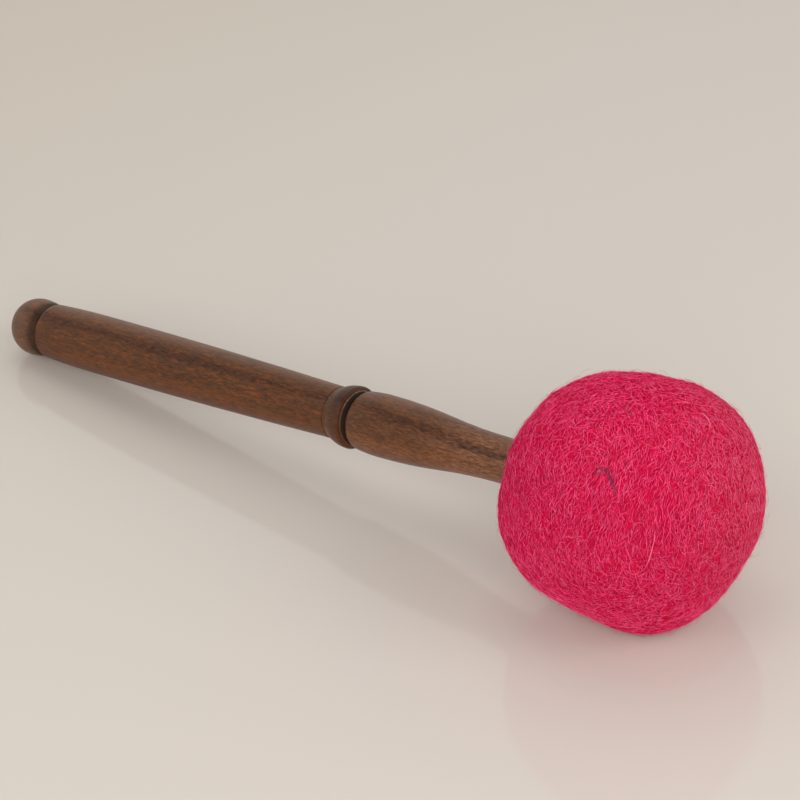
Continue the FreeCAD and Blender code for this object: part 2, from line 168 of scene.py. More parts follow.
# Strays on the head: azimuth and elevation in degrees, from one end to the other.
DARK_HAIR = (
    (-72.9, 38.5), (-71.9, 41.1), (-69.9, 42.4), (-67.5, 42.2),
    (-65.4, 40.7), (-63.9, 38.2), (-62.8, 35.8), (-61.2, 33.4),
)
PALE_HAIRS = (
    ((18.4, 57.6), (17.2, 55.6), (15.2, 53.5), (12.6, 51.4), (9.5, 49.8)),
    ((-42.7, 17.1), (-43.5, 12.8), (-44.7, 8.4), (-46.1, 3.6), (-47.5, -1.0)),
    ((-72.0, 40.2), (-71.7, 40.8), (-71.2, 41.2), (-70.6, 41.5), (-70.0, 41.4)),
)
STRAY_SEED, TUFT_HAIRS, TUFT_SPREAD = 3, 9, 0.2 * MM
TUFT_TAPER, TUFT_RADIUS, TUFT_LIFT = (0.5, 0.9, 1.0, 1.0, 1.0, 1.0, 0.9, 0.5), 0.055 * MM, 0.25 * MM
PALE_TAPER, PALE_RADIUS, PALE_LIFT = (0.4, 1.0, 1.0, 1.0, 0.4), 0.09 * MM, 0.9 * MM
CAUGHT_LIFT = 0.1 * MM  # of a stray's two ends


class FeltSizes(bpy.types.PropertyGroup):
    wall: FloatProperty(
        name="Felt wall", description="Thickness of the outer felt", default=6 * MM, unit="LENGTH",
        subtype="DISTANCE")
    opening: FloatProperty(
        name="Neck opening", description="Radius of the opening round the neck", default=6.25 * MM,
        unit="LENGTH", subtype="DISTANCE")
    rounding: FloatProperty(
        name="Opening rounding", description="Rounding of the opening's edge", default=0.8 * MM,
        unit="LENGTH", subtype="DISTANCE")
    unevenness: FloatProperty(
        name="Unevenness", description="Height of the small soft swellings of the felt",
        default=0.1 * MM, unit="LENGTH", subtype="DISTANCE")
    colour: FloatVectorProperty(
        name="Felt colour", description="Dyed wool of the outer felt",
        default=(0.712, 0.0109, 0.077), subtype="COLOR")
    light_colour: FloatVectorProperty(
        name="Light fibres", description="Fibres that took less dye", default=(0.92, 0.088, 0.254),
        subtype="COLOR")
    # Also the colour of the dark strands that paint each light fibre's shadow.
    dark_colour: FloatVectorProperty(
        name="Dark fibres", description="Fibres that took more dye", default=(0.43, 0.0018, 0.029),
        subtype="COLOR")
    pale_colour: FloatVectorProperty(
        name="Pale hairs", description="Palest of the loose hairs", default=(0.97, 0.22, 0.38),
        subtype="COLOR")
    # Dust in patches, and painted sheen that greys the fibres on one side of the head.
    dust_and_sheen_colour: FloatVectorProperty(
        name="Dusty felt", description="Where the felt has gathered dust",
        default=(0.62, 0.2, 0.25), subtype="COLOR")
    grey_colour: FloatVectorProperty(
        name="Grey fibres", description="Few dark wool hairs among the dyed ones",
        default=(0.22, 0.05, 0.1), subtype="COLOR")
    stray_colour: FloatVectorProperty(
        name="Stray hairs", description="Darkest of the stray hairs", default=(0.09, 0.02, 0.045),
        subtype="COLOR")
    stray_light: FloatVectorProperty(
        name="Light stray hairs", description="Lightest of the stray hairs",
        default=(0.34, 0.055, 0.13), subtype="COLOR")
    wool_colour: FloatVectorProperty(
        name="Raw wool", description="Undyed wool under the felt", default=(0.82, 0.76, 0.64),
        subtype="COLOR")
    wool_shade: FloatVectorProperty(
        name="Raw wool, deep", description="Undyed wool between its threads",
        default=(0.5, 0.42, 0.3), subtype="COLOR")
    fibres: IntProperty(
        name="Fibres in a layer", description="Number of matted fibres in each of the layers",
        default=7600)
    fibre_length: FloatProperty(
        name="Fibre length", description="Usual length of a matted fibre", default=2.6 * MM,
        unit="LENGTH", subtype="DISTANCE")
    fibre_radius: FloatProperty(
        name="Fibre radius", description="Half of a matted strand's thickness", default=0.082 * MM,
        unit="LENGTH", subtype="DISTANCE")
    hairs: IntProperty(
        name="Loose hairs", description="Number of fine hairs that lie loose over the felt",
        default=7300)
    hair_radius: FloatProperty(
        name="Hair radius", description="Half of a loose hair's thickness", default=0.03 * MM,
        unit="LENGTH", subtype="DISTANCE")


class WoodColours(bpy.types.PropertyGroup):
    brown: FloatVectorProperty(
        name="Brown", description="Main colour of the handle's wood",
        default=(0.09, 0.0315, 0.0098), subtype="COLOR")
    warm: FloatVectorProperty(
        name="Warm brown", description="Reddish bands of the handle's wood",
        default=(0.124, 0.04, 0.0106), subtype="COLOR")
    dark: FloatVectorProperty(
        name="Dark streak", description="Dark streaks of the handle's wood",
        default=(0.034, 0.0123, 0.0075), subtype="COLOR")
    # Also painted on as sheen along the handle's upper edge and as light on the swell's lower side.
    pale: FloatVectorProperty(
        name="Pale wood", description="Lighter flecks near the neck", default=(0.224, 0.095, 0.045),
        subtype="COLOR")
    red: FloatVectorProperty(
        name="Red fleck", description="Reddest flecks of the handle's wood",
        default=(0.167, 0.046, 0.0125), subtype="COLOR")
    plum: FloatVectorProperty(
        name="Plum fleck", description="Purplish dark flecks of the handle's wood",
        default=(0.069, 0.029, 0.018), subtype="COLOR")
    # The notch beside the bead and the knob's groove are painted near-black with this colour.
    groove_dark: FloatVectorProperty(
        name="Groove stain", description="Dark stain in the turned grooves",
        default=(0.0134, 0.0078, 0.0056), subtype="COLOR")
    # Painted highlight: the light caught by the turned edges, and the knob's end.
    edge_highlight: FloatVectorProperty(
        name="Worn edge", description="Rubbed edges of the turned beads",
        default=(0.29, 0.21, 0.165), subtype="COLOR")
    bare: FloatVectorProperty(
        name="Bare wood", description="Colour of the head's wooden core",
        default=(0.52, 0.34, 0.18), subtype="COLOR")


class StageLook(bpy.types.PropertyGroup):
    floor: FloatVectorProperty(
        name="Floor", description="Colour of the glossy table top", default=(0.652, 0.589, 0.528),
        subtype="COLOR")
    # Painted shade: the far part of the table is darker and warmer, as if less light reached it.
    far_floor_shade: FloatVectorProperty(
        name="Far floor", description="Warmer colour of the table top beyond the knob",
        default=(0.6, 0.507, 0.395), subtype="COLOR")
    surround: FloatVectorProperty(
        name="Surround", description="Colour of the pale studio behind the mallet",
        default=(0.68, 0.66, 0.622), subtype="COLOR")
    bright_side: FloatVectorProperty(
        name="Bright side", description="Colour of the studio in front of the mallet",
        default=(0.64, 0.625, 0.6), subtype="COLOR")
    side_light: FloatProperty(
        name="Side light", description="Strength of the studio's light from all sides",
        default=1.12)
    top_light: FloatProperty(
        name="Top light",
        description="Strength of the studio's light from overhead, apart from its lamp",
        default=0.107)
    overhead: FloatProperty(
        name="Overhead share",
        description="How bright the studio looks overhead, as a share of eye level", default=0.35)
    camera_aim: FloatVectorProperty(
        name="Camera aim", description="Point of the table that the camera looks at",
        default=(-115.62 * MM, 42.08 * MM, 0), unit="LENGTH", subtype="TRANSLATION")
    camera_distance: FloatProperty(
        name="Camera distance", description="From the camera to its aim", default=860 * MM,
        unit="LENGTH", subtype="DISTANCE")
    camera_azimuth: FloatProperty(
        name="Camera azimuth", description="Turn of the view round the object",
        default=math.radians(42.343), unit="ROTATION", subtype="ANGLE")
    camera_elevation: FloatProperty(
        name="Camera elevation", description="How far the camera looks down",
        default=math.radians(29.579), unit="ROTATION", subtype="ANGLE")
    camera_roll: FloatProperty(
        name="Camera roll", description="How far the camera leans", default=math.radians(-2.844),
        unit="ROTATION", subtype="ANGLE")
    lens: FloatProperty(
        name="Lens", description="Focal length for a 36 mm wide picture", default=134.08,
        unit="CAMERA")


class Wire:
    """One socket of a material's nodes. A sum written with it becomes Math nodes."""

    def __init__(self, finish, socket):
        self.finish, self.socket = finish, socket

    def maths(self, operation, *terms):
        return self.finish.node("Math", {"operation": operation}, dict(enumerate(terms)))

    def __add__(self, other):
        return self.maths("ADD", self, other)

    def __sub__(self, other):
        return self.maths("SUBTRACT", self, other)

    def __rsub__(self, other):
        return self.maths("SUBTRACT", other, self)

    def __mul__(self, other):
        return self.maths("MULTIPLY", self, other)

    def __abs__(self):
        return self.maths("ABSOLUTE", self)

    __radd__ = __add__
    __rmul__ = __mul__

    def at_least(self, other):
        return self.maths("MAXIMUM", self, other)

    def between(self, low, high):
        """0 up to low, 1 from high, smooth between; the other way round if low is above high."""
        ends = {1: low, 2: high, 3: 0.0, 4: 1.0} if low < high else {1: high, 2: low, 3: 1.0, 4: 0.0}
        return self.finish.node("MapRange", {"interpolation_type": "SMOOTHSTEP"}, {0: self, **ends})

    def within(self, starts, ends):
        """1 from where starts ends to where ends starts, 0 outside both."""
        return self.between(*starts) * (1 - self.between(*ends))


class Finish:
    """A material or a world that is put together from nodes."""

    def __init__(self, owner):
        self.owner = owner
        owner.use_nodes = True
        self.tree = owner.node_tree
        self.tree.nodes.clear()

    def node(self, kind, settings=None, sockets=None, out=0):
        node = self.tree.nodes.new("ShaderNode" + kind)
        for name, value in (settings or {}).items():
            setattr(node, name, value)
        for name, value in (sockets or {}).items():
            socket = node.inputs[name]
            if isinstance(value, Wire):
                self.tree.links.new(value.socket, socket)
            elif socket.type == "RGBA":
                socket.default_value = (*value, 1)
            else:
                socket.default_value = value
        return Wire(self, node.outputs[out]) if node.outputs else None

    def mix(self, share, first, second, blend="MIX"):
        settings = {"data_type": "RGBA", "blend_type": blend}
        return self.node("Mix", settings, {0: share, 6: first, 7: second}, out=2)

    def noise(self, place, scale, detail=2.0, roughness=0.5, distortion=0.0):
        return self.node("TexNoise", None, {
            "Vector": place, "Scale": scale, "Detail": detail, "Roughness": roughness,
            "Distortion": distortion})

    def stretched(self, place, scale):
        return self.node("Mapping", None, {"Vector": place, "Scale": scale})

    def part(self, vector, axis):
        return self.node("SeparateXYZ", None, {0: vector}, out=axis)

    def edge(self, along, place, width):
        """1 on a thin line round the handle, 0 beside it."""
        return along.within((place - width, place), (place, place + width))

    def bump(self, height, strength, distance):
        sockets = {"Height": height, "Strength": strength, "Distance": distance}
        return self.node("Bump", None, sockets)

    def surface(self, **sockets):
        """Ends the material in one Principled shader; _ stands for the space in a socket's name."""
        named = {name.replace("_", " "): value for name, value in sockets.items()}
        shader = self.node("BsdfPrincipled", None, named)
        self.node("OutputMaterial", None, {"Surface": shader})
        return self.owner


def along_grain(finish):
    """The place on the mallet: x from the knob's end, y across the growth rings and z along them."""
    here = finish.node("TexCoord", out=3)
    turn = Matrix.Rotation(HANDLE_SLOPE, 3, "Y")
    shift = Vector((HANDLE_LENGTH, 0, 0)) - turn @ HEAD_CENTRE
    level = finish.node("Mapping", None, {
        "Vector": here, "Location": shift, "Rotation": (0, HANDLE_SLOPE, 0)})
    return finish.node("Mapping", None, {"Vector": level, "Rotation": (RING_TURN, 0, 0)})


def handle_finish():
    wood = bpy.context.scene.mallet_wood
    finish = Finish(bpy.data.materials.new("dark_streaked_wood"))
    grain = along_grain(finish)
    along, across = finish.part(grain, "X"), finish.part(grain, "Y")
    band, streak, blotch, fleck, thread, pore = (
        finish.noise(finish.stretched(grain, tightness), 1.0, *rest)
        for tightness, *rest in GRAIN.values())
    pore = pore.between(0.6, 0.72)
    # low marks the handle's lower side and high its upper edge, as it lies on the table; both carry
    # painted light below.
    low, high = across.between(-2.5 * MM, -6.5 * MM), across.between(4.2 * MM, 8 * MM)

    # Warm bands, and painted light: the lower side is made warmer and lighter, as if lit from below.
    colour = finish.mix(0.7 * band.between(0.38, 0.66) + 0.9 * low, wood.brown, wood.warm)
    colour = finish.mix(0.6 * blotch.between(0.5, 0.66), colour, wood.red)
    colour = finish.mix(0.6 * blotch.between(0.5, 0.34), colour, wood.plum)
    # Pale flecks near the neck, and painted light that makes the swell's lower side paler.
    pale_flecks_and_light = along.between(*SWELL) * (0.25 + 0.9 * low) + 2.2 * along.between(*NECK)
    colour = finish.mix(pale_flecks_and_light * (0.2 + 0.2 * fleck.between(0.38, 0.6)), colour, wood.pale)
    # Painted sheen: the handle's upper edge is made paler, a little more along the barrel.
    colour = finish.mix(high * (0.35 + 0.15 * along.between(*BARREL_TOP)), colour, wood.pale)
    colour = finish.mix(0.45 * streak.between(0.52, 0.72), colour, wood.dark)

    sag = BARREL_SAG * along.within(*BARREL_SAG_PLACE) + NECK_SAG * along.between(*NECK_SAG_PLACE)
    off_ring = across - RING_PLACE + sag + RING_WANDER * (streak - 0.5)
    colour = finish.mix(abs(off_ring).between(*RING_FADE) * (1.1 - 1.2 * fleck), colour, wood.dark)
    shade = (-0.42 + 1.1 * thread + 1.65 * fleck).at_least(0.45)
    shade = finish.node("CombineColor", None, {0: shade, 1: shade, 2: shade})
    colour = finish.mix(1.0, colour, shade, "MULTIPLY")
    colour = finish.mix(0.6 * pore, colour, wood.dark)

    # Painted highlight: the knob is lightened a little.
    colour = finish.mix(0.15 * along.between(*KNOB_END), colour, wood.edge_highlight)
    bead, notch, groove = (along.within(*turned) for turned in (BEAD, NOTCH, GROOVE))
    darker = bead * (0.7 * fleck + 0.35 * across.between(-2 * MM, 5 * MM))
    colour = finish.mix(darker, colour, wood.dark)
    # The notch beside the bead is painted near-black, the knob's groove a little less.
    colour = finish.mix(0.95 * notch + 0.65 * groove, colour, wood.groove_dark)
    # Painted highlights: thin light lines at the bead's foot and rim and at the barrel's start, on
    # the handle's upper part only, broken up by the flecks.
    edge_highlight = finish.edge(along, BEAD_FOOT, 0.3 * MM) + finish.edge(along, BEAD_RIM, 0.2 * MM)
    edge_highlight = edge_highlight + 0.6 * finish.edge(along, BARREL_START, 0.6 * MM)
    edge_highlight = 0.5 * edge_highlight * across.between(-2 * MM, 6 * MM) * fleck.between(0.4, 0.55)
    colour = finish.mix(edge_highlight, colour, wood.edge_highlight)
    return finish.surface(
        Base_Color=colour, Roughness=0.3 + 0.1 * fleck + 0.4 * notch, Specular_IOR_Level=0.24,
        Normal=finish.bump(0.4 * thread - pore, 0.3, 0.03 * MM))


def core_finish():
    finish = Finish(bpy.data.materials.new("bare_turned_wood"))
    grain = along_grain(finish)
    bare = bpy.context.scene.mallet_wood.bare
    ring = finish.noise(finish.stretched(grain, (30, 600, 600)), 1.0, 3.0, 0.55)
    thread = finish.noise(finish.stretched(grain, (200, 3500, 3500)), 1.0, 2.0)
    colour = finish.mix(ring.between(0.4, 0.65) * 0.5, bare, tuple(0.6 * c for c in bare))
    return finish.surface(
        Base_Color=colour, Roughness=0.55 + 0.15 * ring, Normal=finish.bump(thread, 0.2, 0.05 * MM))


def matted(finish, here, scale):
    """Fine crossing threads: noise drawn out in three directions, the brightest on top."""
    warp = finish.node("TexNoise", None, {"Vector": here, "Scale": WARP_SCALE, "Detail": 2.0}, out=1)
    sockets = {0: warp, 1: (THREAD_WARP,) * 3, 2: here}
    wound = finish.node("VectorMath", {"operation": "MULTIPLY_ADD"}, sockets)
    layers = []
    for turn in THREAD_TURNS:
        turned = finish.node("Mapping", None, {"Vector": wound, "Rotation": turn})
        drawn_out = finish.stretched(turned, (scale * THREAD_STRETCH, scale, scale))
        layers.append(finish.noise(drawn_out, 1.0, 2.0, 0.6))
    return layers[0].at_least(layers[1]).at_least(layers[2])


def felt_finish():
    felt = bpy.context.scene.mallet_felt
    finish = Finish(bpy.data.materials.new("pink_felt"))
    here = finish.node("TexCoord", out=3)
    threads = matted(finish, here, FELT_THREADS)
    patch = finish.noise(here, 85, 3.0, 0.6)
    colour = finish.mix(threads.between(0.5, 0.72), felt.dark_colour, felt.colour)
    colour = finish.mix(threads.between(0.66, 0.8) * 0.6, colour, felt.light_colour)
    colour = finish.mix(patch.between(0.5, 0.75) * 0.25, colour, felt.grey_colour)
    return finish.surface(
        Base_Color=colour, Roughness=0.95, Specular_IOR_Level=0.05,
        Normal=finish.bump(threads, 0.8, 0.15 * MM))


def fibre_finish():
    felt = bpy.context.scene.mallet_felt
    finish = Finish(bpy.data.materials.new("dyed_fibres"))
    tone = finish.node("Attribute", {"attribute_name": "tone"}, out=2)
    here = finish.node("TexCoord", out=3)
    patch = finish.noise(here, 60, 2.0).between(0.45, 0.7)
    sockets = {0: here, 1: tuple(WINDING)}
    side = finish.node("VectorMath", {"operation": "DOT_PRODUCT"}, sockets, out=1)
    colour = finish.mix(tone.between(0.0, 0.45), felt.dark_colour, felt.colour)
    colour = finish.mix(tone.between(0.45, 0.92), colour, felt.light_colour)
    # Dust in patches, and painted sheen: fibres on the side that the winding axis points to are
    # greyed, as if lit at a grazing angle.
    dust_and_sheen = 0.08 * patch + 0.36 * side.between(0.25 * HEAD_RADIUS, HEAD_RADIUS)
    colour = finish.mix(dust_and_sheen * tone.between(0.35, 0.75), colour, felt.dust_and_sheen_colour)
    # Painted light: fibres at the head's top and underside are brightened, as if lit more there.
    rise = finish.part(here, "Z") - HEAD_CENTRE.z
    caps = abs(rise).between(0.35 * HEAD_RADIUS, 0.85 * HEAD_RADIUS)
    colour = finish.mix(caps, colour, CAP_PAINTED_LIGHT, "MULTIPLY")
    colour = finish.mix(tone.between(*GREY_STEP), colour, felt.grey_colour)
    return finish.surface(Base_Color=colour, Roughness=0.8, Specular_IOR_Level=0.03)


def hair_finish():
    felt = bpy.context.scene.mallet_felt
    finish = Finish(bpy.data.materials.new("loose_pink_hair"))
    tone = finish.node("Attribute", {"attribute_name": "tone"}, out=2)
    colour = finish.mix(tone.between(0.1, 0.9), felt.colour, felt.pale_colour)
    return finish.surface(Base_Color=colour, Roughness=0.6, Specular_IOR_Level=0.2)


def wool_finish():
    felt = bpy.context.scene.mallet_felt
    finish = Finish(bpy.data.materials.new("raw_wool"))
    here = finish.node("TexCoord", out=3)
    threads = matted(finish, here, WOOL_THREADS)
    colour = finish.mix(threads.between(0.5, 0.75), felt.wool_shade, felt.wool_colour)
    return finish.surface(
        Base_Color=colour, Roughness=0.95, Specular_IOR_Level=0.1,
        Normal=finish.bump(threads, 0.8, 0.3 * MM))


def stray_finish():
    felt = bpy.context.scene.mallet_felt
    finish = Finish(bpy.data.materials.new("stray_dark_hair"))
    here = finish.node("TexCoord", out=3)
    colour = finish.mix(finish.noise(here, 2500), felt.stray_colour, felt.stray_light)
    return finish.surface(Base_Color=colour, Roughness=0.6, Specular_IOR_Level=0.1)


def floor_finish():
    look = bpy.context.scene.mallet_stage
    finish = Finish(bpy.data.materials.new("pale_table"))
    here = finish.node("TexCoord", out=3)
    cloud = finish.noise(here, 3.0, 2.0)
    colour = finish.mix(cloud * 0.05, look.floor, tuple(0.85 * c for c in look.floor))
    # Painted shade: the table darkens towards its far side.
    colour = finish.mix(finish.part(here, "X").between(*FAR), colour, look.far_floor_shade)
    return finish.surface(Base_Color=colour, Roughness=0.06 + 0.03 * cloud, IOR=1.43)


def unit(vectors):
    return vectors / np.linalg.norm(vectors, axis=-1, keepdims=True)


def bell(closeness):
    return np.exp(-0.5 * (np.arccos(np.clip(closeness, -1, 1)) / FORM_SPREAD) ** 2)


def directions_at(azimuth, elevation):
    """Directions from the head's centre, from angles in degrees."""
    azimuth, elevation = np.radians(azimuth), np.radians(elevation)
    flat = np.cos(elevation)
    return np.stack([np.cos(azimuth) * flat, np.sin(azimuth) * flat, np.sin(elevation)], -1)


def form_swells():
    """The directions of HEAD_FORM, and how high a bell over each makes their sum meet the offsets."""
    azimuth, elevation, offset = np.array(HEAD_FORM, float).T
    directions = directions_at(azimuth, elevation)
    overlap = bell(directions @ directions.T) + FORM_EASE * np.eye(len(directions))
    return directions, np.linalg.solve(overlap, offset * MM)


def swellings():
    """Random waves over the head: where each runs, how tight it is and where it starts."""
    rng = np.random.default_rng(FORM_SEED)
    waves = unit(rng.normal(size=(SWELLINGS, 3))) * rng.uniform(*TIGHTNESS, (SWELLINGS, 1))
    return waves, rng.uniform(0, 2 * math.pi, SWELLINGS)


def reach(directions, radius):
    """How far the head reaches from its centre in each direction, pressed flat by the table."""
    form, height = form_swells()
    found = radius - NAP + bell(directions @ form.T) @ height
    waves, phase = swellings()
    unevenness = bpy.context.scene.mallet_felt.unevenness
    swell = np.sin(directions @ waves.T + phase).sum(-1)
    found = found + unevenness * swell / math.sqrt(len(phase) / 2)
    floor = (HEAD_CENTRE.z - (HEAD_RADIUS - radius)) / np.maximum(-directions[..., 2], TINY)
    return np.minimum(found, floor)


def round_handle(spots):
    """How far places lie from the head's centre along the handle's axis, and where off it."""
    apart = spots - CENTRE
    along = apart @ AXIS
    return along, apart - along[..., None] * AXIS


def only(piece):
    bpy.ops.object.select_all(action="DESELECT")
    piece.select_set(True)
    bpy.context.view_layer.objects.active = piece


def places(piece):
    found = np.empty(len(piece.data.vertices) * 3)
    piece.data.vertices.foreach_get("co", found)
    return found.reshape(-1, 3)


def place_vertices(piece, found):
    piece.data.vertices.foreach_set("co", found.ravel())
    piece.data.update()


def modify(piece, kind, **settings):
    only(piece)
    modifier = piece.modifiers.new(kind.lower(), kind)
    for name, value in settings.items():
        setattr(modifier, name, value)
    bpy.ops.object.modifier_apply(modifier=modifier.name)


def finished(piece, name, material):
    piece.name = piece.data.name = name
    piece.data.materials.clear()
    piece.data.materials.append(material)
    only(piece)
    bpy.ops.object.shade_smooth()
    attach(piece, "root")


def pressed_ball(radius, cuts):
    """A round cube with one face towards the handle, brought to the head's form."""
    bpy.ops.object.select_all(action="DESELECT")
    bpy.ops.mesh.primitive_cube_add(
        size=2 * radius, location=HEAD_CENTRE, rotation=(0, -HANDLE_SLOPE, 0))
    ball = bpy.context.object
    bpy.ops.object.transform_apply(location=True, rotation=True, scale=True)
    bpy.ops.object.mode_set(mode="EDIT")
    bpy.ops.mesh.select_all(action="SELECT")
    bpy.ops.mesh.subdivide(number_cuts=cuts)
    bpy.ops.object.mode_set(mode="OBJECT")
    corner = places(ball) - CENTRE
    turn = np.array(Matrix.Rotation(-HANDLE_SLOPE, 3, "Y"))
    square = np.tan(corner @ turn / radius * math.pi / 4)  # even faces once it is round
    directions = unit(square) @ turn.T
    place_vertices(ball, CENTRE + directions * reach(directions, radius)[:, None])
    return ball


def open_round_neck(ball, opening):
    """Takes out the faces in front of the neck and draws the edge to a circle."""
    along, off = round_handle(places(ball))
    inside = (along < 0) & (np.linalg.norm(off, axis=-1) < opening)
    only(ball)
    bpy.ops.object.mode_set(mode="EDIT")
    bpy.ops.mesh.select_mode(type="VERT")
    bpy.ops.mesh.select_all(action="DESELECT")
    bpy.ops.object.mode_set(mode="OBJECT")
    ball.data.vertices.foreach_set("select", inside)
    bpy.ops.object.mode_set(mode="EDIT")
    bpy.ops.mesh.delete(type="VERT")
    bpy.ops.mesh.select_all(action="SELECT")
    bpy.ops.mesh.region_to_loop()
    bpy.ops.object.mode_set(mode="OBJECT")
    rim = np.empty(len(ball.data.vertices), bool)
    ball.data.vertices.foreach_get("select", rim)
    now = places(ball)
    along, off = round_handle(now[rim])
    now[rim] = CENTRE + along[:, None] * AXIS + unit(off) * opening
    place_vertices(ball, now)


def make_felt_cover():
    felt = bpy.context.scene.mallet_felt
    cover = pressed_ball(HEAD_RADIUS, FELT_CUTS)
    open_round_neck(cover, felt.opening)
    modify(cover, "SOLIDIFY", thickness=felt.wall, offset=-1, use_even_offset=True)
    modify(
        cover, "BEVEL", width=felt.rounding, segments=3, limit_method="ANGLE",
        angle_limit=math.radians(50))
    modify(cover, "SUBSURF", levels=1, render_levels=1)
    finished(cover, "felt_ball", felt_finish())
    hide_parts("felt_cover")


def make_wound_wool():
    felt = bpy.context.scene.mallet_felt
    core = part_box("head_core")[1].y
    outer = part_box("wool_padding")[1].y
    wool = pressed_ball(outer - WOOL_INSET, WOOL_CUTS)
    open_round_neck(wool, felt.opening)
    modify(wool, "SOLIDIFY", thickness=outer - core - WOOL_SLACK, offset=-1)
    modify(wool, "SUBSURF", levels=1, render_levels=1)
    finished(wool, "wound_wool", wool_finish())
    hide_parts("wool_padding")


def spread_places(rng, count):
    """Directions spread evenly over the head, each shifted a little at random."""
    height = 1 - 2 * (np.arange(count) + rng.uniform(0, 1, count)) / count
    turn = np.arange(count) * math.pi * (3 - math.sqrt(5)) + rng.uniform(0, 2 * math.pi)
    flat = np.sqrt(1 - height ** 2)
    even = np.stack([np.cos(turn) * flat, np.sin(turn) * flat, height], -1)
    return unit(even + rng.normal(0, SPREAD_SHIFT / math.sqrt(count), (count, 3)))


def lying_paths(rng, points, lengths, bend, lifts, looseness):
    """Lines of points that wander round the head, most of them the way that the wool was wound.

    The lifts give each point's height over the felt.
    """
    count = len(lengths)
    here = spread_places(rng, count)
    last_turns = np.linalg.norm(np.cross(OVERWINDING, here), axis=-1)
    over = rng.uniform(*LAST_TURNS, count) < last_turns
    wound = np.cross(np.where(over[:, None], OVERWINDING, WINDING), here)
    loose = unit(np.cross(here, rng.normal(size=(count, 3))))
    sway = (SWAY * sum(np.sin(here @ np.array(wave)) for wave in SWAY_WAVES))[:, None]
    turned = wound * np.cos(sway) + np.cross(here, wound) * np.sin(sway)
    heading = unit(turned + loose * rng.uniform(0, looseness, (count, 1)))
    heading *= rng.choice([-1.0, 1.0], (count, 1))
    curve = rng.normal(0, bend, count)
    step = lengths / (points - 1)
    line = np.empty((count, points, 3))
    for i in range(points):
        line[:, i] = CENTRE + here * (reach(here, HEAD_RADIUS) + lifts[:, i])[:, None]
        angle = (step / HEAD_RADIUS)[:, None]
        ahead = here * np.cos(angle) + heading * np.sin(angle)
        here, heading = ahead, heading * np.cos(angle) - here * np.sin(angle)
        turn = ((curve + rng.normal(0, CURVE_CHANGE * bend, count)) * step)[:, None]
        heading = heading * np.cos(turn) + np.cross(here, heading) * np.sin(turn)
    return line


def clear_of_neighbours(lines, tones, margin):
    """Keeps the lines that stay off the table and out of the neck's opening, with their tones."""
    along, off = round_handle(lines)
    neck = bpy.context.scene.mallet_felt.opening
    beside_neck = np.linalg.norm(off, axis=-1) > neck + margin
    free = (lines[..., 2] > margin) & ((along > 0) | beside_neck)
    kept = free.all(1)
    return lines[kept], tones[kept]


def strands(name, lines, radius, taper, tones, material):
    """Thin closed three-sided tubes along the lines, with a tone for each of their points."""
    bpy.ops.object.select_all(action="DESELECT")
    bpy.ops.curve.primitive_bezier_circle_add(radius=radius)
    section = bpy.context.object
    section.data.splines.clear()
    side = section.data.splines.new("POLY")
    side.points.add(STRAND_SIDES - 1)
    side.use_cyclic_u = True
    for order, point in enumerate(side.points):
        turn = 2 * order * math.pi / STRAND_SIDES
        point.co = (radius * math.cos(turn), radius * math.sin(turn), 0, 1)
    curve = bpy.data.curves.new(name, "CURVE")
    curve.dimensions = "3D"
    curve.bevel_mode, curve.bevel_object, curve.use_fill_caps = "OBJECT", section, True
    count, points = lines.shape[:2]
    for line in np.concatenate([lines, np.ones((count, points, 1))], -1):
        spline = curve.splines.new("POLY")
        spline.points.add(points - 1)
        spline.points.foreach_set("co", line.ravel())
        spline.points.foreach_set("radius", taper)
    piece = bpy.data.objects.new(name, curve)
    bpy.context.scene.collection.objects.link(piece)
    only(piece)
    bpy.ops.object.convert(target="MESH")
    piece = bpy.context.object
    caps = tones[::-1, [-1, 0]]  # the converted mesh has all the caps first, and those backwards
    tone = np.repeat(np.concatenate([caps.ravel(), tones.ravel()]), STRAND_SIDES)
    piece.data.attributes.new("tone", "FLOAT", "POINT").data.foreach_set("value", tone)
    lay_out_strands(piece.data, count)
    bpy.data.objects.remove(section)
    finished(piece, name, material)


def lay_out_strands(mesh, count):
    """Gives each strand a square of the bake map, and each of its faces a cell in it."""
    for layer in list(mesh.uv_layers):
        mesh.uv_layers.remove(layer)
    across = math.ceil(math.sqrt(count))
    faces = len(mesh.polygons) // count
    cells = math.ceil(math.sqrt(faces))
    face = np.arange(len(mesh.polygons))
    strand, part = face // faces, face % faces
    column, row = (part % cells) / cells, (part // cells) / cells
    low = np.stack([strand % across + column, strand // across + row], -1)
    near, far = CELL_MARGIN, 1 - CELL_MARGIN
    corners = np.array([[near, near], [far, near], [far, far], [near, far]]) / cells
    totals = np.empty(len(mesh.polygons), int)
    mesh.polygons.foreach_get("loop_total", totals)
    starts = np.empty(len(mesh.polygons), int)
    mesh.polygons.foreach_get("loop_start", starts)
    corner = np.arange(len(mesh.loops)) - np.repeat(starts, totals)
    at = (np.repeat(low, totals, axis=0) + corners[corner]) / across
    mesh.uv_layers.new(name="OFBake").uv.foreach_set("vector", at.ravel())


def beside(lines, gap):
    """The same lines moved sideways over the felt."""
    side = np.cross(unit(lines - CENTRE), unit(np.gradient(lines, axis=1)))
    return lines + gap * side


